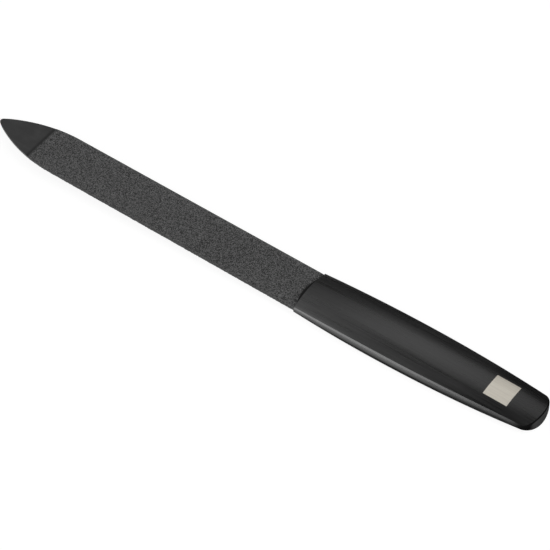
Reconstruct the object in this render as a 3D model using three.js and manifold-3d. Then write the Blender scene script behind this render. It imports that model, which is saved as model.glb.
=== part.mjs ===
// Metal nail file: a pointed steel blade with grit bonded to both faces, its tang held in a hollow
// handle of two crowned steel shells. The blade is set to rise a little from the handle towards its
// point. Millimetres, +Z up. X runs from the point (minus) to the butt (plus). The origin is under the
// middle of the file, on the table that the handle's belly touches.

import * as THREE from 'three';
import { mergeVertices } from 'three/addons/utils/BufferGeometryUtils.js';
import Module from 'manifold-3d';

// Blade
const BLADE_LENGTH = 95.2; // point to handle mouth
const BLADE_WIDTH = 12.35;
const BLADE_SET = 1.7; // degrees that the blade rises from the tang towards its point
const POINT_LENGTH = 20.4; // stretch in which the sides curve in to the point
const NOSE_RADIUS = 0.5;
const STEEL_THICKNESS = 0.6;

// Grit layers on the blade's two faces
const BARE_POINT = 13.3; // bare steel ahead of the grit, used to clean under a nail
const GRIT_THICKNESS = 0.15;
const BOND_LINE = 0.02; // adhesive between two flat faces

// Tang and the two pins that hold it
const TANG_LENGTH = 42; // handle mouth to tang end
const TANG_WIDTH = 7.5;
const BEND_LAP = 0.1; // tang's reach into the blade, which closes the bend between them
const TANG_CLEARANCE = 0.3; // round the tang, in the handle's front wall and in the cores
const PIN_RADIUS = 1.1;
const PIN_LENGTH = 2;
const PIN_CLEARANCE = 0.1;
const FRONT_PIN = 13; // handle mouth to pin
const REAR_PIN_SETBACK = 8; // pin to tang end

// Handle: its width, its rounded side from crease to crease and its full thickness at the mouth, the
// belly and the butt
const HANDLE_LENGTH = 65.05;
const BELLY_STATION = 24.5; // handle mouth to its widest and thickest section
const MOUTH_WIDTH = 13.35;
const BELLY_WIDTH = 14.8;
const BUTT_WIDTH = 10.85;
const MOUTH_SIDE = 1.57;
const BELLY_SIDE = 2.59;
const BUTT_SIDE = 1.41;
const SIDE_TURN = 45; // degrees that the rounded side turns in from upright to its crease
const LEAST_SIDE = 0.05; // side left on the forms drawn in for the hollow and the core
const MOUTH_THICKNESS = 4.35;
const BELLY_THICKNESS = 5.2;
const BUTT_THICKNESS = 3.2;
const BUTT_ROUND = 4.4; // length of the rounded end, seen from above
const BUTT_SQUARENESS = 2.65; // 2 is an ellipse, higher has squarer corners
const WALL = 0.8;
const CORE_CLEARANCE = 0.3; // resin between shell and core
const SHOULDER_CLEARANCE = 0.1; // blade's shoulders to the handle's front wall

// Facets
const ARC_STEPS = 12; // half as many as the chords of one round stretch
const CROWN_STEPS = 16; // chords across the crown
const SIDE_STEPS = 20; // chords along the handle's side
const TURN_STEPS = 4; // chords up the rounded side
const BUTT_STEPS = 8; // chords along half of the rounded end
const ROUND_STEPS = 32; // sides of a pin

// Spare length for cutters, so that no cut ends on a face
const SPARE = 1;

const HALF_STEEL = STEEL_THICKNESS / 2;
const HALF_BLADE = BLADE_WIDTH / 2;
const HALF_TANG = TANG_WIDTH / 2;
const SHOULDER = -SHOULDER_CLEARANCE;
const RISE_ANGLE = THREE.MathUtils.degToRad(BLADE_SET);
const TURN_ANGLE = THREE.MathUtils.degToRad(SIDE_TURN);
const REAR_PIN = TANG_LENGTH - REAR_PIN_SETBACK;

const wasm = await Module();
wasm.setup();

function solid(geometry) {
  geometry.deleteAttribute('normal');
  geometry.deleteAttribute('uv');
  const merged = mergeVertices(geometry);
  return new wasm.Manifold(new wasm.Mesh({
    numProp: 3,
    vertProperties: new Float32Array(merged.attributes.position.array),
    triVerts: new Uint32Array(merged.index.array),
  }));
}

function surface(body) {
  const mesh = body.getMesh();
  const geometry = new THREE.BufferGeometry();
  geometry.setAttribute('position', new THREE.BufferAttribute(mesh.vertProperties, mesh.numProp));
  geometry.setIndex(new THREE.BufferAttribute(mesh.triVerts, 1));
  geometry.computeVertexNormals();
  return geometry;
}

// A flat shape seen from above, raised from one height to another and then turned about Y.
function prism(shape, bottom, top, turn = 0) {
  const settings = { depth: top - bottom, bevelEnabled: false, curveSegments: ARC_STEPS };
  return solid(new THREE.ExtrudeGeometry(shape, settings).translate(0, 0, bottom).rotateY(turn));
}

function uprightCylinder(radius, length, x) {
  const geometry = new THREE.CylinderGeometry(radius, radius, length, ROUND_STEPS);
  return geometry.rotateX(Math.PI / 2).translate(x, 0, 0);
}

// Carries an outline on round the blade's point, from the +Y edge to the -Y edge. Each side is one
// arc, level with the blade's edge where it starts and tangent to the nose where it ends.
function drawPoint(shape) {
  const pointStart = POINT_LENGTH - BLADE_LENGTH;
  const noseX = NOSE_RADIUS - BLADE_LENGTH;
  const run = POINT_LENGTH - NOSE_RADIUS;
  const rise = HALF_BLADE - NOSE_RADIUS;
  const sideRadius = (run ** 2 + HALF_BLADE ** 2 - NOSE_RADIUS ** 2) / (2 * rise);
  const sideY = HALF_BLADE - sideRadius;
  const noseAngle = Math.atan2(-sideY, -run);
  shape.absarc(pointStart, sideY, sideRadius, Math.PI / 2, noseAngle);
  shape.absarc(noseX, 0, NOSE_RADIUS, noseAngle, 2 * Math.PI - noseAngle);
  shape.absarc(pointStart, -sideY, sideRadius, 2 * Math.PI - noseAngle, 1.5 * Math.PI);
}

// A strip with a round end behind the mouth, which is at x = 0: the tang, or the room that it takes.
function tangShape(start, half) {
  const roundStart = TANG_LENGTH - HALF_TANG;
  const shape = new THREE.Shape();
  shape.moveTo(start, -half);
  shape.lineTo(roundStart, -half);
  shape.absarc(roundStart, 0, half, -Math.PI / 2, Math.PI / 2);
  shape.lineTo(start, half);
  return shape;
}

// The blade ahead of the handle, seen from above.
function bladeShape() {
  const shape = new THREE.Shape();
  shape.moveTo(SHOULDER, -HALF_BLADE);
  shape.lineTo(SHOULDER, HALF_BLADE);
  drawPoint(shape);
  return shape;
}

// The room that the tang takes in the handle, from below the parting plane up to a height.
function tangRoom(height) {
  return prism(tangShape(-SPARE, HALF_TANG + TANG_CLEARANCE), -SPARE, height);
}

// A handle size along its length: one parabola to each side of the belly, level where they meet.
function along(x, mouth, belly, butt) {
  const ahead = x < BELLY_STATION;
  const reach = ahead ? BELLY_STATION : HANDLE_LENGTH - BELLY_STATION;
  const share = (x - BELLY_STATION) / reach;
  return belly - (belly - (ahead ? mouth : butt)) * share * share;
}

function spaced(from, to, steps) {
  return Array.from({ length: steps + 1 }, (_, i) => THREE.MathUtils.lerp(from, to, i / steps));
}

// Half the width and half the side's height of the handle's form, drawn in by inset.
function halfWidth(x, inset) {
  return along(x, MOUTH_WIDTH, BELLY_WIDTH, BUTT_WIDTH) / 2 - inset;
}

function sideHeight(x, inset) {
  const side = along(x, MOUTH_SIDE, BELLY_SIDE, BUTT_SIDE) / 2 - inset * Math.sin(TURN_ANGLE);
  return Math.max(side, LEAST_SIDE);
}

// Height of the crown above the parting plane: an arc across the handle through both creases.
function crownHeight(x, y, inset) {
  const top = along(x, MOUTH_THICKNESS, BELLY_THICKNESS, BUTT_THICKNESS) / 2 - inset;
  const side = sideHeight(x, inset);
  const crease = halfWidth(x, inset) - side * Math.tan(TURN_ANGLE / 2);
  const rise = top - side;
  const radius = (crease ** 2 + rise ** 2) / (2 * rise);
  return top - radius + Math.sqrt(radius ** 2 - y ** 2);
}

// The handle on its parting plane, seen from above and drawn in by inset: its curved sides, and a
// superellipse round the butt. The points run along the -Y side, round the butt and back.
function handleOutline(inset) {
  const roundStart = HANDLE_LENGTH - BUTT_ROUND;
  const sides = spaced(inset - SPARE, roundStart, SIDE_STEPS).map((x) => {
    return new THREE.Vector2(x, halfWidth(x, inset));
  });
  const power = 2 / BUTT_SQUARENESS;
  const angles = spaced(0, Math.PI / 2, BUTT_STEPS).slice(1, -1);
  const round = angles.map((angle) => {
    const x = roundStart + (BUTT_ROUND - inset) * Math.sin(angle) ** power;
    return new THREE.Vector2(x, halfWidth(x, inset) * Math.cos(angle) ** power);
  });
  const half = [...sides, ...round];
  const mirrored = half.map((point) => new THREE.Vector2(point.x, -point.y));
  return [...mirrored, new THREE.Vector2(HANDLE_LENGTH - inset, 0), ...half.reverse()];
}

// Outward directions of an outline's points, each square to the line between its two neighbours.
function outwardDirections(points) {
  return points.map((_, i) => {
    const before = points[Math.max(i - 1, 0)];
    const after = points[Math.min(i + 1, points.length - 1)];
    return new THREE.Vector2(after.y - before.y, before.x - after.x).normalize();
  });
}

// The side all round the handle as rings one above the other: upright on the parting plane, turned in
// up to the crease and one step past it, and then straight up to clear the crown.
function sideRings(inset) {
  const outline = handleOutline(inset);
  const outward = outwardDirections(outline);
  const ring = (turn, fixedHeight) => outline.map((point, i) => {
    const radius = sideHeight(point.x, inset) / Math.sin(TURN_ANGLE);
    const drawnIn = (angle) => point.clone().addScaledVector(outward[i], radius * (Math.cos(angle) - 1));
    const crease = drawnIn(TURN_ANGLE);
    const below = radius * (Math.sin(TURN_ANGLE) - Math.sin(turn));
    const place = drawnIn(turn);
    return new THREE.Vector3(place.x, place.y, fixedHeight ?? crownHeight(crease.x, crease.y, inset) - below);
  });
  const turns = spaced(0, TURN_ANGLE, TURN_STEPS).slice(1);
  const pastCrease = TURN_ANGLE * (1 + 1 / TURN_STEPS);
  const turned = [...turns, pastCrease].map((turn) => ring(turn));
  return [ring(0, 0), ...turned, ring(pastCrease, BELLY_THICKNESS)];
}

// One section of the crown, carried on past the creases, with a flat base below the parting plane.
// Points run round the section once.
function crownSection(x, inset) {
  const reach = halfWidth(x, inset) + SPARE;
  const arc = spaced(reach, -reach, CROWN_STEPS).map((y) => {
    return new THREE.Vector3(x, y, crownHeight(x, y, inset));
  });
  const base = -BELLY_THICKNESS;
  return [...arc, new THREE.Vector3(x, -reach, base), new THREE.Vector3(x, reach, base)];
}

// A closed skin over sections that each have the same number of points, with a flat cap at each end.
function loft(sections) {
  const count = sections[0].length;
  const triangles = [];
  const last = (sections.length - 1) * count;
  for (let s = 0; s < sections.length - 1; s += 1) {
    for (let p = 0; p < count; p += 1) {
      const a = s * count + p;
      const b = s * count + (p + 1) % count;
      triangles.push(a, b, a + count, b, b + count, a + count);
    }
  }
  for (let p = 1; p < count - 1; p += 1) {
    triangles.push(0, p + 1, p);
    triangles.push(last, last + p, last + p + 1);
  }
  const geometry = new THREE.BufferGeometry().setFromPoints(sections.flat());
  geometry.setIndex(triangles);
  return solid(geometry);
}

// The upper half of the handle's form above the parting plane, drawn in by inset on every side.
function handleHalf(inset) {
  const body = spaced(inset, HANDLE_LENGTH - BUTT_ROUND, SIDE_STEPS);
  const stations = [...body, HANDLE_LENGTH - BUTT_ROUND / 2, HANDLE_LENGTH + SPARE];
  const crown = loft(stations.map((x) => crownSection(x, inset)));
  return loft(sideRings(inset)).intersect(crown);
}

// The raised blade and its level tang, one strip of steel bent where they meet.
function fileBlade() {
  const blade = prism(bladeShape(), -HALF_STEEL, HALF_STEEL, RISE_ANGLE);
  const tang = prism(tangShape(SHOULDER - BEND_LAP, HALF_TANG), -HALF_STEEL, HALF_STEEL);
  const holes = [FRONT_PIN, REAR_PIN].map((x) => {
    return solid(uprightCylinder(PIN_RADIUS + PIN_CLEARANCE, STEEL_THICKNESS + SPARE, x));
  });
  return blade.add(tang).subtract(holes[0]).subtract(holes[1]);
}

// One grit layer: the whole face of the blade, cut back from its bare point.
function gritLayer() {
  const bottom = HALF_STEEL + BOND_LINE;
  const top = bottom + GRIT_THICKNESS;
  const barePoint = new THREE.BoxGeometry(2 * BARE_POINT, BLADE_WIDTH + SPARE, 2 * (top + SPARE));
  return prism(bladeShape(), bottom, top).subtract(solid(barePoint.translate(-BLADE_LENGTH, 0, 0)));
}

// One shell: a pressed half with a front wall, an end wall and the slot that the tang passes through.
function handleShell() {
  const slot = tangRoom(HALF_STEEL + TANG_CLEARANCE);
  return handleHalf(0).subtract(handleHalf(WALL)).subtract(slot);
}

// One core: fills its shell and closes on the tang, with a socket for each pin.
function handleCore() {
  const socketLength = PIN_LENGTH + 2 * BOND_LINE;
  const sockets = [FRONT_PIN, REAR_PIN].map((x) => {
    return solid(uprightCylinder(PIN_RADIUS + PIN_CLEARANCE, socketLength, x));
  });
  const body = handleHalf(WALL + CORE_CLEARANCE).subtract(tangRoom(HALF_STEEL + BOND_LINE));
  return body.subtract(sockets[0]).subtract(sockets[1]);
}

function finish(color, roughness, metalness) {
  return new THREE.MeshStandardMaterial({ color, roughness, metalness });
}

function piece(name, geometry, material) {
  const mesh = new THREE.Mesh(geometry, material);
  mesh.name = name;
  return mesh;
}

// Above and below have the same form, so the lower pieces are turned half round X.
function turnedUnder(mesh) {
  mesh.rotation.x = Math.PI;
  return mesh;
}

const BLACK_STEEL = '#2b2b2c';
const DARK_GRIT = '#464647';
const RESIN = '#6e6a60';
const BARE_STEEL = '#b9b7b2';

const nailFile = new THREE.Group();
nailFile.position.set((BLADE_LENGTH * Math.cos(RISE_ANGLE) - HANDLE_LENGTH) / 2, 0, BELLY_THICKNESS / 2);

const gritFaces = new THREE.Group();
gritFaces.rotation.y = RISE_ANGLE;
gritFaces.add(
  piece('upper_grit_coat', surface(gritLayer()), finish(DARK_GRIT, 0.9, 0.1)),
  turnedUnder(piece('lower_grit_coat', surface(gritLayer()), finish(DARK_GRIT, 0.9, 0.1))),
);

nailFile.add(
  piece('file_blade', surface(fileBlade()), finish(BLACK_STEEL, 0.45, 0.8)),
  gritFaces,
  piece('upper_handle_shell', surface(handleShell()), finish(BLACK_STEEL, 0.4, 0.8)),
  turnedUnder(piece('lower_handle_shell', surface(handleShell()), finish(BLACK_STEEL, 0.4, 0.8))),
  piece('upper_core', surface(handleCore()), finish(RESIN, 0.7, 0)),
  turnedUnder(piece('lower_core', surface(handleCore()), finish(RESIN, 0.7, 0))),
  piece('front_tang_pin', uprightCylinder(PIN_RADIUS, PIN_LENGTH, FRONT_PIN), finish(BARE_STEEL, 0.35, 1)),
  piece('rear_tang_pin', uprightCylinder(PIN_RADIUS, PIN_LENGTH, REAR_PIN), finish(BARE_STEEL, 0.35, 1)),
);

export default nailFile;
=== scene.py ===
# %% [markdown]
# # A metal nail file
# A pointed steel blade with a layer of dark grit on each face sits in a crowned handle that is pressed
# from black-coated steel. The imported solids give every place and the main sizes. This lesson dresses
# them: it builds finer skins for what shows, gives each piece a finish made of nodes, and lights the
# file on a pale table.

# %% Load the solids
import math

import bmesh
import bpy
import numpy as np
from mathutils import Matrix, Quaternion, Vector


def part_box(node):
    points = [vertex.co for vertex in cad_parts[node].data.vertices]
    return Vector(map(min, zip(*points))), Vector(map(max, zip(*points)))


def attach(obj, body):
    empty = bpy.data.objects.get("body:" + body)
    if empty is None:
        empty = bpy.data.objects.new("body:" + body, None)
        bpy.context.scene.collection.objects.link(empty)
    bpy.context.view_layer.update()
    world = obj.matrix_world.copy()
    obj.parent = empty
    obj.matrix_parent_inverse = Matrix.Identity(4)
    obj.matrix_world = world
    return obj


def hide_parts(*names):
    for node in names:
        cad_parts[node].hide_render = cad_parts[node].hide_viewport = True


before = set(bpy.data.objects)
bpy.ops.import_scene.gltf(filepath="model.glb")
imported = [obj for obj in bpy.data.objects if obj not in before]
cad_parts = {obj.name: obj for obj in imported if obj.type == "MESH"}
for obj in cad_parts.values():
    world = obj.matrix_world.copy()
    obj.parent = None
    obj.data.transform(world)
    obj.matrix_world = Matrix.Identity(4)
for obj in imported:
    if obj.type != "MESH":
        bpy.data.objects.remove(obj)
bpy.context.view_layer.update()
MM = 0.001
print("nodes:", sorted(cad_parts))

# %% [markdown]
# ## Where the file lies
# The solids already say where the handle begins, where its two halves part and how wide the blade is.
# These could be typed in again, but reading them from the nodes' boxes keeps the skins on the solids.
# Everything below is in millimetres until a mesh is made, because a nail file is drawn in millimetres.

# %% Read places and sizes from the solids
shell_low, shell_high = (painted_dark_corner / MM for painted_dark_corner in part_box("upper_handle_shell"))
blade_low, blade_high = (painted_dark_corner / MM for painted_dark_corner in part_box("file_blade"))

MOUTH_X = shell_low.x
PARTING_Z = shell_low.z
HANDLE_LENGTH = shell_high.x - shell_low.x
BELLY_HALF = (shell_high.y - shell_low.y) / 2
BELLY_RISE = shell_high.z - shell_low.z
HALF_BLADE = (blade_high.y - blade_low.y) / 2
print(f"handle {HANDLE_LENGTH:.2f} mm long from x = {MOUTH_X:.2f}, parting plane at {PARTING_Z:.2f} mm")

# %% [markdown]
# ## The camera
# The photograph looks down on the file from behind its butt, from far away with a long lens. A camera
# could be placed by eye, but a place, a point to look at and a small roll, worked out from the file's
# own outline, put every edge where the photograph has it.

# %% Camera
CAMERA_PLACE = Vector((240.629, -320.321, 455.504))
CAMERA_AIM = Vector((4.996, -0.182, 2.6))
CAMERA_ROLL = -0.8  # degrees
CAMERA_LENS = 164.916
SENSOR_WIDTH = 36
NEAREST_SEEN = 0.01  # metres

camera = bpy.data.objects.new("camera", bpy.data.cameras.new("camera"))
bpy.context.scene.collection.objects.link(camera)
camera.data.sensor_width = SENSOR_WIDTH
camera.data.lens = CAMERA_LENS
camera.data.clip_start = NEAREST_SEEN
camera.location = CAMERA_PLACE * MM
camera.rotation_mode = "QUATERNION"
level_look = (CAMERA_AIM - CAMERA_PLACE).to_track_quat("-Z", "Y")
camera.rotation_quaternion = level_look @ Quaternion((0, 0, 1), math.radians(CAMERA_ROLL))
bpy.context.scene.camera = camera
print(f"camera {camera.location.length / MM:.0f} mm from the file")

# %% [markdown]
# ## Writing shaders as sums
# A finish is worked out from coordinates, noise and masks, and long chains of Math nodes are hard to
# read. This small class holds one output socket. Adding or multiplying two of them adds the Math node
# that does it, so a mask can be written as `1 - edge * 2`. Every other node comes from one method.

# %% The socket class
class Wire:
    """One output socket of a node tree, or only the tree when it starts a shader."""

    def __init__(self, tree, socket=None):
        self.tree = tree
        self.socket = socket

    def node(self, kind, settings=None, inputs=None, out=0):
        made = self.tree.nodes.new(kind)
        for name, value in (settings or {}).items():
            setattr(made, name, value)
        for key, value in (inputs or {}).items():
            if isinstance(value, Wire):
                self.tree.links.new(value.socket, made.inputs[key])
            else:
                made.inputs[key].default_value = value
        return Wire(self.tree, made.outputs[out] if len(made.outputs) else None)

    def math(self, operation, first, second=0.0, clamp=False):
        settings = {"operation": operation, "use_clamp": clamp}
        return self.node("ShaderNodeMath", settings, {0: first, 1: second})

    def __add__(self, other):
        return self.math("ADD", self, other)

    __radd__ = __add__

    def __sub__(self, other):
        return self.math("SUBTRACT", self, other)

    def __rsub__(self, other):
        return self.math("SUBTRACT", other, self)

    def __mul__(self, other):
        return self.math("MULTIPLY", self, other)

    __rmul__ = __mul__

    def __pow__(self, other):
        return self.math("POWER", self, other)

    def __abs__(self):
        return self.math("ABSOLUTE", self)

    def at_least(self, other):
        return self.math("MAXIMUM", self, other)

    def clamped(self):
        return self.math("ADD", self, 0.0, clamp=True)

    def mixed(self, low, high):
        """A colour that goes from low to high as this value goes from 0 to 1."""
        inputs = {"Factor": self, 6: low, 7: high}
        return self.node("ShaderNodeMix", {"data_type": "RGBA"}, inputs, out=2)


def new_finish(name):
    material = bpy.data.materials.new(name)
    material.use_nodes = True
    material.node_tree.nodes.clear()
    return material, Wire(material.node_tree)


def surface(pen, inputs):
    """Ends a finish: the inputs go to one shader, and the shader to the material's surface."""
    shader = pen.node("ShaderNodeBsdfPrincipled", {}, inputs)
    pen.node("ShaderNodeOutputMaterial", {}, {"Surface": shader})


print("socket class ready")

# %% [markdown]
# ## Coordinates and noise in millimetres
# Object coordinates are fixed to the piece, so a pattern stays where it is from any side. They come in
# metres, and multiplying them by a thousand lets each pattern be sized in millimetres. Brushing runs
# along the handle, so its noise is stretched along X: slow along the file, quick across it.

# %% Coordinate helpers
def millimetres(pen):
    """The place on the piece, in millimetres."""
    place = pen.node("ShaderNodeTexCoord", out="Object")
    return pen.node("ShaderNodeVectorMath", {"operation": "SCALE"}, {0: place, "Scale": 1 / MM})


def axes(pen, vector):
    """The three values of a vector."""
    return [pen.node("ShaderNodeSeparateXYZ", {}, {0: vector}, out=i) for i in range(3)]


def stretched(pen, vector, cells):
    """The vector times the number of noise cells per millimetre along each axis."""
    return pen.node("ShaderNodeVectorMath", {"operation": "MULTIPLY"}, {0: vector, 1: cells})


def noise(pen, vector, scale=1.0, detail=2.0, rough=0.5):
    inputs = {"Vector": vector, "Scale": scale, "Detail": detail, "Roughness": rough}
    return pen.node("ShaderNodeTexNoise", {}, inputs)


def steps(pen, value, low, high):
    """0 below low, 1 above high and a smooth change between them."""
    inputs = {"Value": value, 1: low, 2: high, 3: 0.0, 4: 1.0}
    return pen.node("ShaderNodeMapRange", {"interpolation_type": "SMOOTHSTEP"}, inputs)


def bump(pen, height, relief, strength):
    """A Bump node: relief is the height in metres that a value of 1 stands for."""
    inputs = {"Height": height, "Distance": relief, "Strength": strength}
    return pen.node("ShaderNodeBump", {}, inputs)


def contrast(value, factor):
    """The value's distance from its middle of 0.5, times the factor, kept between 0 and 1."""
    return ((value - 0.5) * factor + 0.5).clamped()


def grey(level):
    return (level, level, level, 1.0)


print("noise helpers ready")

# %% [markdown]
# ## The handle's black coat
# The real handle is brushed lengthwise and then coated black, so the brushing still shows as faint
# streaks. A flat dark colour would look like plastic. Three layers of stretched noise, from broad
# bands to hair-fine lines, change the colour, the roughness and the height a little.

# %% Streaks along the file
STREAK_LAYERS = [  # cells per millimetre along each axis, share of the mix
    ((0.020, 0.50, 0.50), 0.30),
    ((0.040, 1.80, 1.80), 0.45),
    ((0.080, 6.00, 6.00), 0.25),
]


def brushing(pen, vector):
    """Lengthwise brushing as one value, about 0.5 on average."""
    total = 0.0
    for cells, share in STREAK_LAYERS:
        total = noise(pen, stretched(pen, vector, cells)) * share + total
    return total


print("streak layers:", len(STREAK_LAYERS))

# %% [markdown]
# Near the butt a small square is left bare of the coat, so the brushed steel below shows through as a
# pale mark with crisp edges. It could be a separate plate, but it lies flush with the coat, so a mask
# in the coat is truer. The mask is the distance to a square with rounded corners.

# %% A bare square in the coat
BARE_CENTRE = 53.85  # behind the handle's mouth
BARE_HALF = 3.22
BARE_CORNER = 0.12
BARE_EDGE = 0.04


def bare_square(pen, behind, across):
    """1 inside the square where the coat is left off, 0 outside it."""
    straight = BARE_HALF - BARE_CORNER
    past_end = (abs(behind - BARE_CENTRE) - straight).at_least(0.0)
    past_side = (abs(across) - straight).at_least(0.0)
    distance = (past_end * past_end + past_side * past_side) ** 0.5
    return 1 - steps(pen, distance, BARE_CORNER - BARE_EDGE, BARE_CORNER + BARE_EDGE)


print(f"bare square {2 * BARE_HALF:.2f} mm wide")

# %% [markdown]
# The lower half's rounded sides are dull, and so is the end of the butt. Along the butt's crease and at
# its two corners the coat is painted almost black, a painted dark reflection, and the foot of a side,
# next to the seam, gets painted shade. Masks could follow the places of these zones, but a surface's own
# direction tells side from crown without them: the crown looks up or down, the sides look outwards.

# %% Sides and butt rim
SIDE_UPRIGHT, CROWN_UPRIGHT = 0.78, 0.86
WALL_UPRIGHT, TURNED_UPRIGHT = 0.25, 0.45
FOOT_LOW, FOOT_HIGH = (-0.25, 0.35), (0.50, 0.10)  # at the front, and what the rear adds
RIM_START, RIM_END = 59.0, 63.0
CORNER_START, CORNER_END = 59.5, 62.5
CORNER_NEAR, CORNER_FAR = 3.0, 4.4


def facing_masks(pen, rear):
    """Masks of the rounded sides, of where a side has begun to turn in, and of a side's foot, which gets
    painted shade.
    """
    facing = pen.node("ShaderNodeTexCoord", out="Normal")
    upright = abs(pen.node("ShaderNodeSeparateXYZ", {}, {0: facing}, out=2))
    side = 1 - steps(pen, upright, SIDE_UPRIGHT, CROWN_UPRIGHT)
    low, high = (front + rear * added for front, added in (FOOT_LOW, FOOT_HIGH))
    foot = side * (1 - steps(pen, upright, low, high))
    return side, steps(pen, upright, WALL_UPRIGHT, TURNED_UPRIGHT), foot


def butt_masks(pen, behind, across):
    """Two masks that rise towards the butt: one all round it, and one at its two corners only, where a
    dark reflection is painted.
    """
    rim = steps(pen, behind, RIM_START, RIM_END)
    outer = steps(pen, abs(across), CORNER_NEAR, CORNER_FAR)
    return rim, steps(pen, behind, CORNER_START, CORNER_END) * outer


print("masks for sides and butt ready")

# %% [markdown]
# Shade is painted into the coat: it darkens towards the butt, most along its two shoulders, and
# a little in the middle behind the mouth. Lamps could do some of that from one side, but as masks the
# painted shade stays on the handle from every side. The dull parts are no metal and have no gloss, and
# the bare square is steel with a faint warm tone.

# %% Coat colours and the handle finish
COAT_LOW, COAT_HIGH = grey(0.097), grey(0.153)
SHADED_COAT_COLOUR = grey(0.03)
FOOT_SHADE_COLOUR = grey(0.012)
PAINTED_RIM_DARK = grey(0.008)
DULL_COLOUR = grey(0.085)
STEEL_LOW, STEEL_HIGH = (0.80, 0.745, 0.65, 1.0), (0.97, 0.92, 0.81, 1.0)
DARKER_START, DARKER_END, DARKER_SHARE = 26.0, 64.0, 0.31
FRONT_START, FRONT_END, FRONT_SHARE = 5.0, 22.0, 0.16
SHOULDER_START, SHOULDER_END, SHOULDER_SHARE = 40.0, 58.0, 0.30
SHOULDER_NEAR, SHOULDER_FAR = 2.0, 4.6
# The lower sides' colour, painted darker towards the butt as shade.
LOWER_FRONT, LOWER_REAR = grey(0.070), grey(0.042)
LOWER_START, LOWER_END = 8.0, 30.0
STREAK_CONTRAST = 2.6
COAT_ROUGH, COAT_ROUGH_SPREAD = 0.30, 0.14
DULL_ROUGHER, BARE_ROUGHER = 0.25, 0.06
BARE_NOT_METAL = 0.5
DULL_GLOSS = 0.0
COAT_RELIEF, COAT_STRENGTH = 0.00003, 0.5  # relief in metres


def upper_colours(pen, colour, strong, behind, across, side, turned):
    """Colour, metal and added roughness of the upper half, from the coat's own colour."""
    rim, painted_dark_corner = butt_masks(pen, behind, across)
    dull = side * rim
    # Painted dark reflection: the turned-in top of the side round the butt and the butt's two corners go
    # almost black.
    black = (turned + painted_dark_corner).clamped()
    colour = dull.mixed(colour, black.mixed(DULL_COLOUR, PAINTED_RIM_DARK))
    bare = bare_square(pen, behind, across)
    colour = bare.mixed(colour, strong.mixed(STEEL_LOW, STEEL_HIGH))
    return colour, 1 - dull - bare * BARE_NOT_METAL, dull * DULL_ROUGHER + bare * BARE_ROUGHER


def lower_colours(pen, colour, behind, across, side):
    """Colour, metal and added roughness of the lower half, from the coat's own colour."""
    rim, painted_dark_corner = butt_masks(pen, behind, across)
    # Painted shade: the lower sides darken from the front towards the butt.
    below = steps(pen, behind, LOWER_START, LOWER_END).mixed(LOWER_FRONT, LOWER_REAR)
    # The butt's two corners get the painted dark reflection here too.
    colour = side.mixed(colour, painted_dark_corner.mixed(rim.mixed(below, DULL_COLOUR), PAINTED_RIM_DARK))
    return colour, 1 - side, side * DULL_ROUGHER


def handle_finish(name, is_upper):
    material, pen = new_finish(name)
    vector = millimetres(pen)
    x, across, _ = axes(pen, vector)
    behind = x - MOUTH_X
    streaks = brushing(pen, vector)
    strong = contrast(streaks, STREAK_CONTRAST)
    rear = steps(pen, behind, DARKER_START, DARKER_END)
    side, turned, foot = facing_masks(pen, rear)
    outer = steps(pen, abs(across), SHOULDER_NEAR, SHOULDER_FAR)
    shoulder = steps(pen, behind, SHOULDER_START, SHOULDER_END) * outer
    middle = (1 - steps(pen, behind, FRONT_START, FRONT_END)) * (1 - outer)
    # Painted shade: the coat darkens towards the butt, along its shoulders and in the middle behind the
    # mouth.
    painted_shade = rear * DARKER_SHARE + (middle * FRONT_SHARE + shoulder * SHOULDER_SHARE) * (1 - side)
    colour = painted_shade.mixed(strong.mixed(COAT_LOW, COAT_HIGH), SHADED_COAT_COLOUR)
    # Painted shade at the foot of each side, next to the seam.
    colour = foot.mixed(colour, FOOT_SHADE_COLOUR)
    if is_upper:
        colour, metal, rougher = upper_colours(pen, colour, strong, behind, across, side, turned)
    else:
        colour, metal, rougher = lower_colours(pen, colour, behind, across, side)
    surface(pen, {
        "Base Color": colour,
        "Metallic": metal,
        "Roughness": COAT_ROUGH + (strong - 0.5) * COAT_ROUGH_SPREAD + rougher,
        "Specular IOR Level": DULL_GLOSS,
        "Normal": bump(pen, streaks, COAT_RELIEF, COAT_STRENGTH),
    })
    return material


upper_coat = handle_finish("black_brushed_coat_with_bare_square", True)
lower_coat = handle_finish("black_brushed_coat", False)
print("handle finishes:", upper_coat.name, "and", lower_coat.name)

# %% [markdown]
# ## The handle's form
# Width, side and crown each follow a curve along the handle, from the mouth to the belly and on to the
# butt. Width and crown are parabolas. The side keeps its height longer and drops late, so it takes a
# higher power behind the belly. Seen from above, the butt is close to half an ellipse. The lower half
# has deeper sides at the belly and a deeper butt. The solids follow curves of the same kind, and here
# they are sampled finely, so that the long reflections on the coat run without facets.

# %% Curves along the handle
BELLY_STATION = 24.5
MOUTH_HALF, BUTT_HALF = 6.80, 5.425
MOUTH_RISE = 2.175
# A form's side: its height at mouth, belly and butt, and the power of its curve behind the belly.
UPPER_FORM = {"butt_rise": 1.60, "side": (0.92, 1.36, 0.705, 4)}
LOWER_FORM = {"butt_rise": 1.95, "side": (0.70, 1.85, 0.25, 3)}
SIDE_TURN = math.radians(45)
LEAST_SIDE = 0.05


def along(x, mouth, belly, butt, butt_power=2):
    ahead = np.minimum(x - BELLY_STATION, 0.0) / BELLY_STATION
    behind = np.maximum(x - BELLY_STATION, 0.0) / (HANDLE_LENGTH - BELLY_STATION)
    return belly - (belly - mouth) * ahead ** 2 - (belly - butt) * behind ** butt_power


def half_width(x):
    return along(x, MOUTH_HALF, BELLY_HALF, BUTT_HALF)


def side_height(x, form, inset):
    return np.maximum(along(x, *form["side"]) - inset * math.sin(SIDE_TURN), LEAST_SIDE)


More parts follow.
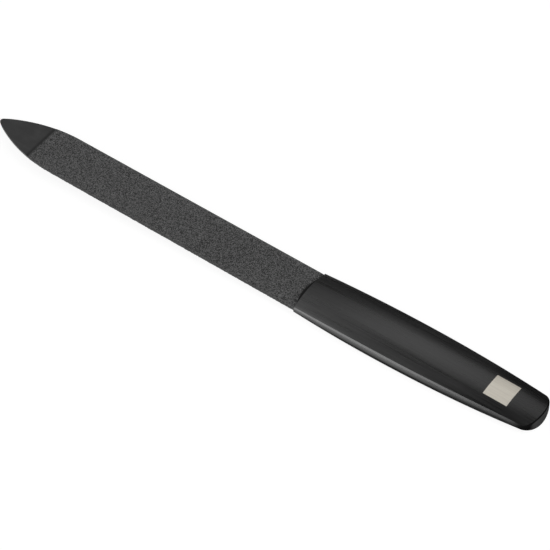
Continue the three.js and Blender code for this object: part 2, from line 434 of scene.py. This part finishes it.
def crown_height(x, y, form, inset):
    """Height of the crown above the parting plane: an arc through both creases and the top."""
    top = along(x, MOUTH_RISE, BELLY_RISE, form["butt_rise"]) - inset
    side = side_height(x, form, inset)
    crease = half_width(x) - inset - side * math.tan(SIDE_TURN / 2)
    drop = top - side
    radius = (crease ** 2 + drop ** 2) / (2 * drop)
    return top - radius + np.sqrt(radius ** 2 - y ** 2)


for half, form in (("upper", UPPER_FORM), ("lower", LOWER_FORM)):
    print(f"{half} side at the belly {float(side_height(BELLY_STATION, form, 0.0)):.2f} mm high")

# %% [markdown]
# ## A half shell as one closed skin
# The real halves are pressed from sheet. A modelled block with modifiers could give that form, but the
# reflections need even rows, so the skin is laid out row by row. Seen from above it is a set of rows
# across the handle, and the last one is a single point at the middle of the butt. The rim runs once round
# the
# plan: along the mouth, down one side, round the butt and back up the other side.

# %% Rows and rim
BODY_ROWS, BUTT_ROWS = 84, 26
COLUMNS = 44
BUTT_ROUND = 2.7
BUTT_SQUARENESS = 2.05
SLOT_HALF, SLOT_HEIGHT, SLOT_CHEEK = 4.05, 0.6, 0.01
DIAGONAL = math.sqrt(0.5)


def plan_sides():
    """Stations and half widths of the handle seen from above, without the very end of the butt."""
    body = np.linspace(0.0, HANDLE_LENGTH - BUTT_ROUND, BODY_ROWS)
    angle = np.linspace(0.0, math.pi / 2, BUTT_ROWS + 1)[1:-1]
    power = 2 / BUTT_SQUARENESS
    butt = HANDLE_LENGTH - BUTT_ROUND + BUTT_ROUND * np.sin(angle) ** power
    narrow = half_width(butt) * np.cos(angle) ** power
    return np.concatenate([body, butt]), np.concatenate([half_width(body), narrow])


def column_shares():
    """Places across a row from -1 to 1, with a close pair at each cheek of the tang's slot."""
    slot = SLOT_HALF / MOUTH_HALF
    cheek = SLOT_CHEEK / MOUTH_HALF
    plain = np.linspace(-1.0, 1.0, COLUMNS + 1)
    pairs = [-slot - cheek, -slot + cheek, slot - cheek, slot + cheek]
    return np.sort(np.concatenate([plain, pairs]))


def rim_loop(stations, halves, shares):
    """The rim as points, outward directions and the way each leans in, once round the plan."""
    slope = np.gradient(halves, stations)
    normal = np.stack([-slope, np.ones_like(slope)], axis=1)
    normal /= np.linalg.norm(normal, axis=1)[:, None]
    front = np.stack([np.zeros_like(shares), shares * halves[0]], axis=1)
    front_out = np.tile([-1.0, 0.0], (len(shares), 1))
    front_out[0] = -DIAGONAL, -DIAGONAL
    front_out[-1] = -DIAGONAL, DIAGONAL
    front_lean = np.stack([np.zeros_like(shares), shares], axis=1)
    left = np.stack([stations[1:], halves[1:]], axis=1)
    end, end_out = np.array([[HANDLE_LENGTH, 0.0]]), np.array([[1.0, 0.0]])
    right = left[::-1] * [1, -1]
    right_out = normal[:0:-1] * [1, -1]
    points = np.concatenate([front, left, end, right])
    outward = np.concatenate([front_out, normal[1:], end_out, right_out])
    lean = np.concatenate([front_lean, normal[1:], end_out, right_out])
    return points, outward, lean


print("rows:", len(plan_sides()[0]), "columns:", len(column_shares()))

# %% [markdown]
# From the rim the side rises as an arc that turns in by 45 degrees to the crease, as pressing leaves it,
# and the crown closes it from crease to crease. Where the tang enters, the front wall's lower edge steps
# up. An inset draws the whole form in by a wall's thickness and gives the skin of the hollow.

# %% Rings of the side and grid of the crown
SIDE_STEPS = 10


def side_rings(form, inset):
    """Rings of points from the parting plane up to the crease."""
    stations, halves = plan_sides()
    shares = column_shares()
    points, outward, lean = rim_loop(stations, halves, shares)
    reach = np.ones((len(points), 1))
    reach[[0, len(shares) - 1]] = math.sqrt(2)  # the two corners of the mouth
    points = points - outward * inset * reach
    at_front = np.arange(len(points)) < len(shares)
    in_slot = at_front & (np.abs(points[:, 1]) < SLOT_HALF)
    base = np.where(in_slot, SLOT_HEIGHT, 0.0)
    radius = side_height(points[:, 0], form, inset) / math.sin(SIDE_TURN)

    def leaned(turn):
        return points - lean * (radius * (1 - math.cos(turn)))[:, None]

    crease = leaned(SIDE_TURN)
    crease_top = crown_height(crease[:, 0], crease[:, 1], form, inset)
    rings = [np.column_stack([points, base])]
    for turn in np.linspace(0.0, SIDE_TURN, SIDE_STEPS + 1)[1:]:
        on_side = crease_top - radius * (math.sin(SIDE_TURN) - math.sin(turn))
        on_front = base + (crease_top - base) * math.sin(turn) / math.sin(SIDE_TURN)
        rings.append(np.column_stack([leaned(turn), np.where(at_front, on_front, on_side)]))
    return rings


def crown_grid(crease, first, following, form, inset):
    """Rows of vertex numbers across the crown, and the new points between its two creases.

    The crease's own vertices are numbered from first, the new ones from following.
    """
    shares = column_shares()
    rows, across, count = len(plan_sides()[0]), len(shares), len(crease)
    grid = [first + np.arange(across)]
    points = []
    for row in range(1, rows):
        left, right = across - 1 + row, count - row
        x, y = crease[left][:2]
        station, place = np.full(across - 2, x), shares[1:-1] * y
        points.append(np.column_stack([station, place, crown_height(station, place, form, inset)]))
        between = following + (row - 1) * (across - 2) + np.arange(across - 2)
        grid.append(np.concatenate([[first + right], between, [first + left]]))
    return np.array(grid), points


def half_skin(form, inset):
    """Vertices and faces of one skin above the parting plane, and the length of a ring."""
    rings = side_rings(form, inset)
    count = len(rings[0])
    faces = []
    for start in range(0, (len(rings) - 1) * count, count):
        for k in range(count):
            a, b = start + k, start + (k + 1) % count
            faces.append((a, a + count, b + count, b))
    crease_start = (len(rings) - 1) * count
    grid, points = crown_grid(rings[-1], crease_start, crease_start + count, form, inset)
    rows, across = grid.shape
    for row in range(rows - 1):
        for column in range(across - 1):
            a, b = grid[row, column], grid[row, column + 1]
            c, d = grid[row + 1, column + 1], grid[row + 1, column]
            faces.append((a, d, c, b))
    end = crease_start + across - 1 + rows
    for column in range(across - 1):
        faces.append((grid[-1, column], end, grid[-1, column + 1]))
    return np.concatenate([*rings, *points]), faces, count


print("vertices of one skin:", len(half_skin(UPPER_FORM, 0.0)[0]))

# %% [markdown]
# A shell is its outer skin, the skin of the hollow turned inside out, and a strip along the parting plane
# between them. The lower half is built upwards too and then mirrored. Thin sheet could be left as one
# skin, but a closed body with a real wall also looks right where the tang goes in.

# %% Two half shells
WALL = 0.8
HANDLE_SHARP = 18  # degrees between faces from which an edge stays sharp


def shell_mesh(name, side, form):
    """A closed half shell; side is 1 for the upper half and -1 for the lower one."""
    outer, outer_faces, count = half_skin(form, 0.0)
    inner, inner_faces, _ = half_skin(form, WALL)
    shift = len(outer)
    faces = outer_faces + [tuple(shift + v for v in face[::-1]) for face in inner_faces]
    for k in range(count):
        after = (k + 1) % count
        faces.append((k, after, shift + after, shift + k))
    vertices = np.concatenate([outer, inner]) * [1, 1, side] + [MOUTH_X, 0, PARTING_Z]
    if side < 0:
        faces = [face[::-1] for face in faces]
    mesh = bpy.data.meshes.new(name)
    mesh.from_pydata((vertices * MM).tolist(), [], faces)
    mesh.validate()
    return mesh


def smooth_by_angle(mesh, degrees):
    mesh.shade_smooth()
    mesh.set_sharp_from_angle(angle=math.radians(degrees))


def add_piece(name, mesh, material, node):
    piece = bpy.data.objects.new(name, mesh)
    bpy.context.scene.collection.objects.link(piece)
    mesh.materials.append(material)
    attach(piece, "root")
    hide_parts(node)
    print(f"{name}: {len(mesh.polygons)} faces")


HALVES = (("upper", 1, UPPER_FORM, upper_coat), ("lower", -1, LOWER_FORM, lower_coat))
for half, side, form, coat in HALVES:
    half_mesh = shell_mesh(f"{half}_handle_skin", side, form)
    smooth_by_angle(half_mesh, HANDLE_SHARP)
    add_piece(f"{half}_handle_skin", half_mesh, coat, f"{half}_handle_shell")

# %% [markdown]
# ## The blade
# The blade is one strip of thin steel. Its sides run straight and then curve in to a small rounded nose,
# and behind the shoulders it narrows to the tang. The black coat adds a tenth of a millimetre to each
# edge, a little more along the bare point and most at the handle. A curve object could be filled to
# give this form, but an outline worked out from arcs also serves the grit.

# %% Outline of the blade
BLADE_LENGTH, BARE_POINT, POINT_LENGTH = 95.2, 13.3, 20.4
NOSE_RADIUS = 0.8
SHOULDER_GAP = 0.1
TANG_HALF, TANG_LENGTH = 3.75, 42.0
POINT_TIP = MOUTH_X - BLADE_LENGTH
GRIT_START = POINT_TIP + BARE_POINT
SHOULDER_X = MOUTH_X - SHOULDER_GAP
COAT_THICKNESS, MOUTH_FLARE = 0.1, 0.1
COATED_HALF = HALF_BLADE + COAT_THICKNESS
BACK_HALF = COATED_HALF + MOUTH_FLARE
BARE_FULLNESS, FULL_FROM, FULL_FADE = 0.13, 1.5, 1.0
BLADE_CHORD = 0.5
LEAST_CHORDS, NOSE_POINTS, TANG_POINTS = 8, 15, 25


def arc(centre, radius, start, stop, count):
    angle = np.linspace(start, stop, count)
    return np.stack([centre[0] + radius * np.cos(angle), centre[1] + radius * np.sin(angle)], axis=1)


def point_outline(chord):
    """From the blade's +Y edge round the nose to its -Y edge, in chords of about that length."""
    run = POINT_LENGTH - NOSE_RADIUS
    radius = (run ** 2 + COATED_HALF ** 2 - NOSE_RADIUS ** 2) / (2 * (COATED_HALF - NOSE_RADIUS))
    centre = COATED_HALF - radius
    nose = math.atan2(-centre, -run)
    count = max(int(radius * (nose - math.pi / 2) / chord), LEAST_CHORDS)
    upper = arc((POINT_TIP + POINT_LENGTH, centre), radius, math.pi / 2, nose, count)
    tip = arc((POINT_TIP + NOSE_RADIUS, 0.0), NOSE_RADIUS, nose, 2 * math.pi - nose, NOSE_POINTS)
    return np.concatenate([upper, tip[1:-1], upper[::-1] * [1, -1]])


def blade_outline():
    point = point_outline(BLADE_CHORD)
    stations = [0.0, FULL_FROM, BARE_POINT, BARE_POINT + FULL_FADE]
    fullness = np.interp(point[:, 0] - POINT_TIP, stations, [0.0, BARE_FULLNESS, BARE_FULLNESS, 0.0])
    point[:, 1] += np.sign(point[:, 1]) * fullness
    tang_end = MOUTH_X + TANG_LENGTH - TANG_HALF
    tang = arc((tang_end, 0.0), TANG_HALF, -math.pi / 2, math.pi / 2, TANG_POINTS)
    front = np.array([[SHOULDER_X, -BACK_HALF], [SHOULDER_X, -TANG_HALF]])
    back = front[::-1] * [1, -1]
    return np.concatenate([point, front, tang, back])


print("points of the blade's outline:", len(blade_outline()))

# %% [markdown]
# Blade and grit are flat pieces with a tiny slope along their rims, where a cut edge catches the light. A
# face with pin holes is filled between its loops, and a face without holes is cut into triangles ear by
# ear, which copes with the grit's ragged rim. Everything ahead of the shoulders is then turned up a
# little, because the real blade rises from the handle to its point.

# %% Flat pieces with sloped rims
HALF_STEEL = 0.3
BLADE_SET = math.radians(1.7)
FRONT_PIN, REAR_PIN, PIN_HOLE, PIN_SIDES = 13.0, 34.0, 1.2, 32
BLADE_RIM = 0.05
CUT_REACH, TURN_REACH = 1e-4, 1e-3  # how near the bend a vertex counts as on it


def inset_loop(loop, distance):
    """The loop drawn in by a distance, each point along the mean of its two edges' normals."""
    ahead = np.roll(loop, -1, axis=0) - loop
    ahead /= np.linalg.norm(ahead, axis=1)[:, None]
    both = ahead + np.roll(ahead, 1, axis=0)
    inward = np.stack([-both[:, 1], both[:, 0]], axis=1)
    length = np.linalg.norm(inward, axis=1)[:, None]
    return loop + inward / length * distance * (2 / length)


def raise_blade(bm):
    """Turns everything ahead of the shoulders up by the blade's set, about the mouth's middle."""
    bend = Vector((SHOULDER_X, 0, 0))
    everything = [*bm.verts, *bm.edges, *bm.faces]
    bmesh.ops.bisect_plane(bm, geom=everything, dist=CUT_REACH, plane_co=bend, plane_no=(1, 0, 0))
    ahead = [v for v in bm.verts if v.co.x < bend.x + TURN_REACH]
    centre = Vector((MOUTH_X, 0, PARTING_Z))
    bmesh.ops.rotate(bm, verts=ahead, cent=centre, matrix=Matrix.Rotation(BLADE_SET, 3, "Y"))


def flat_mesh(name, outline, low, high, slope, holes=()):
    """A flat piece between two heights with a small slope along its rim and plain round holes."""
    bm = bmesh.new()

    def ring(loop, height):
        return [bm.verts.new((x, y, height)) for x, y in loop]

    def bridge(first, second):
        for k in range(len(first)):
            after = (k + 1) % len(first)
            bm.faces.new((first[k], first[after], second[after], second[k]))

    def rim(loop):
        return [bm.edges.get((loop[k], loop[(k + 1) % len(loop)])) for k in range(len(loop))]

    drawn_in = inset_loop(outline, slope)
    levels = ((drawn_in, low), (outline, low + slope), (outline, high - slope), (drawn_in, high))
    rings = [ring(loop, height) for loop, height in levels]
    for first, second in zip(rings, rings[1:]):
        bridge(first, second)
    if holes:
        bottoms, tops = rim(rings[0]), rim(rings[-1])
        for hole in holes:
            under, over = ring(hole, low), ring(hole, high)
            bridge(over, under)
            bottoms += rim(under)
            tops += rim(over)
        for edges in (bottoms, tops):
            bmesh.ops.triangle_fill(bm, use_beauty=True, use_dissolve=False, edges=edges)
    else:
        flats = [bm.faces.new(rings[0][::-1]), bm.faces.new(rings[-1])]
        bmesh.ops.triangulate(bm, faces=flats, ngon_method="EAR_CLIP")
    bmesh.ops.recalc_face_normals(bm, faces=bm.faces)
    raise_blade(bm)
    bmesh.ops.scale(bm, vec=(MM, MM, MM), verts=bm.verts)
    mesh = bpy.data.meshes.new(name)
    bm.to_mesh(mesh)
    bm.free()
    return mesh


pin_holes = [
    arc((MOUTH_X + x, 0.0), PIN_HOLE, 0, 2 * math.pi, PIN_SIDES + 1)[:-1] for x in (FRONT_PIN, REAR_PIN)
]
blade_heights = PARTING_Z - HALF_STEEL, PARTING_Z + HALF_STEEL
blade_mesh = flat_mesh("blade", blade_outline(), *blade_heights, BLADE_RIM, pin_holes)
print(f"pin holes: {len(pin_holes)}, blade set up by {math.degrees(BLADE_SET):.1f} degrees")

# %% [markdown]
# The bare point wears the same black coat, satin and a little cloudy, and a dark line of painted shade
# from the grit's step lies where the grit begins. The line could be a groove, but it shows no depth, so
# it is a painted colour that rises over the last millimetre.

# %% Blade finish
BLADE_DARK, BLADE_PALE = grey(0.075), grey(0.113)
LINE_WIDTH, STEP_SHADE_COLOUR = 1.0, grey(0.047)
CLOUD_CELLS, CLOUD_DETAIL = 0.35, 3.0
CLOUD_SHARE = 0.5
BLADE_CONTRAST = 2.4
BLADE_METAL = 0.7
BLADE_ROUGH, BLADE_ROUGH_SPREAD = 0.42, 0.1
BLADE_RELIEF, BLADE_STRENGTH = 0.00002, 0.4
FLAT_SHARP = 30  # degrees


def blade_finish():
    material, pen = new_finish("black_coated_blade")
    vector = millimetres(pen)
    x = axes(pen, vector)[0]
    streaks = brushing(pen, vector)
    cloud = noise(pen, vector, CLOUD_CELLS, CLOUD_DETAIL)
    tone = contrast(streaks * (1 - CLOUD_SHARE) + cloud * CLOUD_SHARE, BLADE_CONTRAST)
    # Painted shade of the grit's step: the bare point darkens over its last millimetre.
    line = steps(pen, x, GRIT_START - LINE_WIDTH, GRIT_START)
    surface(pen, {
        "Base Color": line.mixed(tone.mixed(BLADE_DARK, BLADE_PALE), STEP_SHADE_COLOUR),
        "Metallic": BLADE_METAL,
        "Roughness": BLADE_ROUGH + (cloud - 0.5) * BLADE_ROUGH_SPREAD,
        "Normal": bump(pen, streaks, BLADE_RELIEF, BLADE_STRENGTH),
    })
    return material


smooth_by_angle(blade_mesh, FLAT_SHARP)
add_piece("blade", blade_mesh, blade_finish(), "file_blade")

# %% [markdown]
# ## The grit
# Both faces carry a thin bonded layer of fine abrasive grains. Single grains are far smaller than a
# pixel, and what the eye sees is a speckle: most grains dull, a few facets catching the light. Modelled
# grains would be millions of faces, so cells of noise give each grain its tone and height, and a rare
# smoother cell painted pale makes a sparkle, a painted glint. The layer is a little paler along its rim
# and towards the point, it begins softly behind the dark line, and a thin black crescent at the mouth is
# the handle's painted shadow.

# %% Grit finish
GRAIN = 0.15  # millimetres across
CLUMP, CLUMP_ROUGH = 3.2 * GRAIN, 0.6
FIELD_CELLS = 0.08
GRAIN_SHARE, CLUMP_SHARE, FIELD_SHARE = 2.4, 1.7, 0.3
RIM_WIDTH, RIM_SHARE = 0.2, 0.4
TONE_AT_POINT, TONE_LOST = 0.485, 0.09
GRAIN_DARK, GRAIN_PALE = grey(0.018), grey(0.146)
SPARKLE_FROM, SPARKLE_FULL, PAINTED_GLINT_COLOUR = 0.994, 0.998, grey(0.27)
START_CLEAR, START_COLOUR = 0.8, grey(0.028)
SHADOW_REACH, SHADOW_HALF, SHADOW_CENTRE, SHADOW_FADE = 1.64, 6.0, 0.1, 0.3
MOUTH_SHADOW_COLOUR = grey(0.003)
GRIT_ROUGH, SPARKLE_SMOOTHER = 0.75, 0.45
CLUMP_HEIGHT, DOME_DEPTH = 0.7, 0.8
GRIT_RELIEF, GRIT_STRENGTH = 0.00006, 0.8


def painted_mouth_shadow(pen, x, across):
    """1 in the crescent of the handle's painted shadow ahead of the mouth, 0 elsewhere."""
    share = (across - SHADOW_CENTRE) * (1 / SHADOW_HALF)
    reach = (1 - share * share) * SHADOW_REACH
    return steps(pen, reach + x - MOUTH_X, 0.0, SHADOW_FADE)


def grit_finish():
    material, pen = new_finish("dark_bonded_grit")
    vector = millimetres(pen)
    x, across, _ = axes(pen, vector)
    cells = {"Vector": vector, "Scale": 1 / GRAIN}
    tint = pen.node("ShaderNodeTexVoronoi", {}, cells, out="Color")
    grain = pen.node("ShaderNodeSeparateColor", {}, {0: tint}, out=0)
    dome = pen.node("ShaderNodeTexVoronoi", {}, cells, out="Distance")
    clump = noise(pen, vector, 1 / CLUMP, rough=CLUMP_ROUGH)
    field = noise(pen, vector, FIELD_CELLS)
    rim = steps(pen, abs(across), HALF_BLADE - RIM_WIDTH, COATED_HALF)
    level = TONE_AT_POINT - steps(pen, x, GRIT_START, MOUTH_X) * TONE_LOST
    speckle = (grain - 0.5) * GRAIN_SHARE + (clump - 0.5) * CLUMP_SHARE
    tone = speckle + (field - 0.5) * FIELD_SHARE + rim * RIM_SHARE + level
    dull = tone.clamped().mixed(GRAIN_DARK, GRAIN_PALE)
    # Sparkle: its pale colour is a painted glint, and its lower roughness is a real smoother facet.
    sparkle = steps(pen, grain, SPARKLE_FROM, SPARKLE_FULL)
    start = steps(pen, x, GRIT_START, GRIT_START + START_CLEAR)
    grains = start.mixed(START_COLOUR, sparkle.mixed(dull, PAINTED_GLINT_COLOUR))
    # The black crescent ahead of the mouth is the handle's painted shadow.
    surface(pen, {
        "Base Color": painted_mouth_shadow(pen, x, across).mixed(grains, MOUTH_SHADOW_COLOUR),
        "Metallic": 0.0,
        "Roughness": GRIT_ROUGH - sparkle * SPARKLE_SMOOTHER,
        "Normal": bump(pen, clump * CLUMP_HEIGHT - dome * DOME_DEPTH, GRIT_RELIEF, GRIT_STRENGTH),
    })
    return material


grit_coat = grit_finish()
print("grit finish:", grit_coat.name)

# %% [markdown]
# The layer follows the blade's outline from the bare point back to the handle. A smooth rim would look
# like paint, so single grains are let out of it or fall in, by a few hundredths of a millimetre and from a
# fixed seed. The layer lies a thin bond line away from the steel.

# %% Grit layers
RAGGED_OUT, RAGGED_IN = 0.06, 0.05
RAGGED_STEP = 0.22
GRIT_CHORD = 0.3
BOND_LINE, GRIT_THICKNESS = 0.02, 0.15
GRIT_RIM = 0.03
UPPER_SEED, LOWER_SEED = 11, 12


def resampled(loop, step):
    """The loop with points about step apart along every edge."""
    closed = np.concatenate([loop, loop[:1]])
    places = [np.array(loop[0])]
    for first, second in zip(closed, closed[1:]):
        count = max(int(round(np.linalg.norm(second - first) / step)), 1)
        places += [first + (second - first) * k / count for k in range(1, count + 1)]
    return np.array(places[:-1])


def grit_outline(seed):
    """The blade's face from the bare point back to the handle, its rim ragged by single grains."""
    around = point_outline(GRIT_CHORD)
    keep = around[around[:, 0] > GRIT_START + RAGGED_STEP]
    half = around[: len(around) // 2][::-1]
    cut = np.interp(GRIT_START, half[:, 0], half[:, 1])
    upper, lower = keep[keep[:, 1] > 0], keep[keep[:, 1] < 0]
    corners = np.array([[GRIT_START, cut], [GRIT_START, -cut]])
    back = np.array([[SHOULDER_X, -BACK_HALF], [SHOULDER_X, BACK_HALF]])
    loop = resampled(np.concatenate([upper, corners, lower, back]), RAGGED_STEP)
    depth = np.random.default_rng(seed).uniform(-RAGGED_OUT, RAGGED_IN, len(loop))
    return inset_loop(loop, depth[:, None])


near_face = HALF_STEEL + BOND_LINE
far_face = near_face + GRIT_THICKNESS
LAYERS = (("upper", UPPER_SEED, near_face, far_face), ("lower", LOWER_SEED, -far_face, -near_face))
for half, seed, low, high in LAYERS:
    layer_mesh = flat_mesh(f"{half}_grit", grit_outline(seed), PARTING_Z + low, PARTING_Z + high, GRIT_RIM)
    smooth_by_angle(layer_mesh, FLAT_SHARP)
    add_piece(f"{half}_grit", layer_mesh, grit_coat, f"{half}_grit_coat")

# %% [markdown]
# ## Inside the handle
# The two cores and the pins are closed in and never seen, but the solids carry them, so they get finishes
# of their own: filled resin with pale flecks, and drawn steel wire cut to length. The solids' own forms
# are plain enough to stay as they are.

# %% Finishes of the inner pieces
RESIN_DARK, RESIN_PALE = (0.16, 0.15, 0.125, 1.0), (0.22, 0.205, 0.17, 1.0)
FLECK_COLOUR = (0.34, 0.33, 0.29, 1.0)
FLECK_CELLS, FLECK_DETAIL, FLECK_FROM, FLECK_FULL = 2.5, 4.0, 0.55, 0.7
RESIN_CLOUD_CELLS = 0.2
RESIN_ROUGH, RESIN_ROUGHER = 0.62, 0.15
PIN_DARK, PIN_PALE = (0.42, 0.41, 0.39, 1.0), (0.62, 0.61, 0.58, 1.0)
DRAWN_CELLS, DRAWN_DETAIL = (9.0, 9.0, 0.25), 3.0
PIN_ROUGH, PIN_ROUGHER = 0.3, 0.2
RESIN_RELIEF, PIN_RELIEF, INNER_STRENGTH = 0.00003, 0.00002, 0.4


def resin_finish():
    material, pen = new_finish("filled_resin")
    vector = millimetres(pen)
    fleck = steps(pen, noise(pen, vector, FLECK_CELLS, FLECK_DETAIL), FLECK_FROM, FLECK_FULL)
    cloud = noise(pen, vector, RESIN_CLOUD_CELLS)
    surface(pen, {
        "Base Color": fleck.mixed(cloud.mixed(RESIN_DARK, RESIN_PALE), FLECK_COLOUR),
        "Roughness": RESIN_ROUGH + cloud * RESIN_ROUGHER,
        "Normal": bump(pen, fleck, RESIN_RELIEF, INNER_STRENGTH),
    })
    return material


def pin_finish():
    material, pen = new_finish("drawn_steel_wire")
    lines = noise(pen, stretched(pen, millimetres(pen), DRAWN_CELLS), detail=DRAWN_DETAIL)
    surface(pen, {
        "Base Color": lines.mixed(PIN_DARK, PIN_PALE),
        "Metallic": 1.0,
        "Roughness": PIN_ROUGH + lines * PIN_ROUGHER,
        "Normal": bump(pen, lines, PIN_RELIEF, INNER_STRENGTH),
    })
    return material


def dress(node, material):
    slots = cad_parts[node].data.materials
    slots.clear()
    slots.append(material)
    print("dressed", node, "in", material.name)


resin, pin_steel = resin_finish(), pin_finish()
for node in ("upper_core", "lower_core"):
    dress(node, resin)
for node in ("front_tang_pin", "rear_tang_pin"):
    dress(node, pin_steel)

# %% [markdown]
# ## The table
# The file lies on white. A table could be made white by strong light, but that would turn the black coat
# grey. So its colour is a grey that takes the file's shadow, and a glow that shows only to the camera and
# in reflections lifts it to white.

# %% Table
FLOOR_HALF = 3.0  # metres
FLOOR_GAP = 0.00002
FLOOR_CELLS = 0.01
FLOOR_DARK, FLOOR_PALE = grey(0.20), grey(0.22)
FLOOR_GLOW = 0.88
SEEN_BY = ("Is Camera Ray", "Is Glossy Ray", "Is Transmission Ray")


def table_finish():
    material, pen = new_finish("white_table")
    seen = sum(pen.node("ShaderNodeLightPath", out=ray) for ray in SEEN_BY).clamped()
    surface(pen, {
        "Base Color": noise(pen, millimetres(pen), FLOOR_CELLS).mixed(FLOOR_DARK, FLOOR_PALE),
        "Roughness": 1.0,
        "Specular IOR Level": 0.0,
        "Emission Color": seen.mixed(grey(0.0), grey(1.0)),
        "Emission Strength": FLOOR_GLOW,
    })
    return material


square = ((-1, -1), (1, -1), (1, 1), (-1, 1))
corners = [(x * FLOOR_HALF, y * FLOOR_HALF, -FLOOR_GAP) for x, y in square]
table_mesh = bpy.data.meshes.new("table")
table_mesh.from_pydata(corners, [], [(0, 1, 2, 3)])
table_mesh.materials.append(table_finish())
table = bpy.data.objects.new("table", table_mesh)
bpy.context.scene.collection.objects.link(table)
print(f"table {2 * FLOOR_HALF:.0f} m wide")

# %% [markdown]
# ## The light
# A black coat shows the lamps that it mirrors, so each lamp is there for one stretch of the file. The
# sheen lamp over the far side draws the long sheen down the middle of the crown. The left lamp and the
# crease lamp carry it on to the near crease. The side lamp, low at the near left, lights the bright side
# under it. The key lamp, broad and high over the butt, lights the grit, the bare square and the table. A
# picture of a studio all round could do the same, but lamps are easier to set.

# %% Lamps
LAMP_DISTANCE = 1.2  # metres
LAMPS = [  # name, direction from the file, width and height in metres, radiance
    ("sheen_lamp", (-0.245, 0.556, 0.794), 0.35, 0.666, 0.63),
    ("left_lamp", (-0.58, 0.08, 0.81), 0.576, 0.80, 0.50),
    ("crease_lamp", (-0.54, -0.36, 0.76), 0.55, 0.60, 0.80),
    ("side_lamp", (-0.43, -0.84, 0.33), 0.80, 0.80, 2.0),
    ("key_lamp", (0.60, -0.28, 0.75), 1.20, 1.20, 2.4),
]
STUDIO_LEVEL = 0.075


def soft_lamp(name, towards, width, height, radiance):
    """A flat lamp that looks at the file, its width along the file as far as that can be."""
    lamp = bpy.data.lights.new(name, "AREA")
    lamp.shape = "RECTANGLE"
    lamp.size, lamp.size_y = width, height
    lamp.energy = radiance * math.pi * width * height
    away = Vector(towards).normalized()
    across = away.cross(Vector((1, 0, 0))).normalized()
    turn = Matrix((across.cross(away), across, away)).transposed()
    holder = bpy.data.objects.new(name, lamp)
    bpy.context.scene.collection.objects.link(holder)
    holder.location = away * LAMP_DISTANCE
    holder.rotation_mode = "QUATERNION"
    holder.rotation_quaternion = turn.to_quaternion()
    print(f"lamp {name}: {lamp.energy:.2f} W")


for lamp in LAMPS:
    soft_lamp(*lamp)

world = bpy.data.worlds.new("studio")
bpy.context.scene.world = world
world.use_nodes = True
background = world.node_tree.nodes["Background"]
background.inputs["Color"].default_value = grey(1.0)
background.inputs["Strength"].default_value = STUDIO_LEVEL

# %% [markdown]
# ## Finish
# The view transform is the plain one, so that a colour in a finish is the colour in the picture.

# %% End
bpy.context.scene.view_settings.view_transform = "Standard"
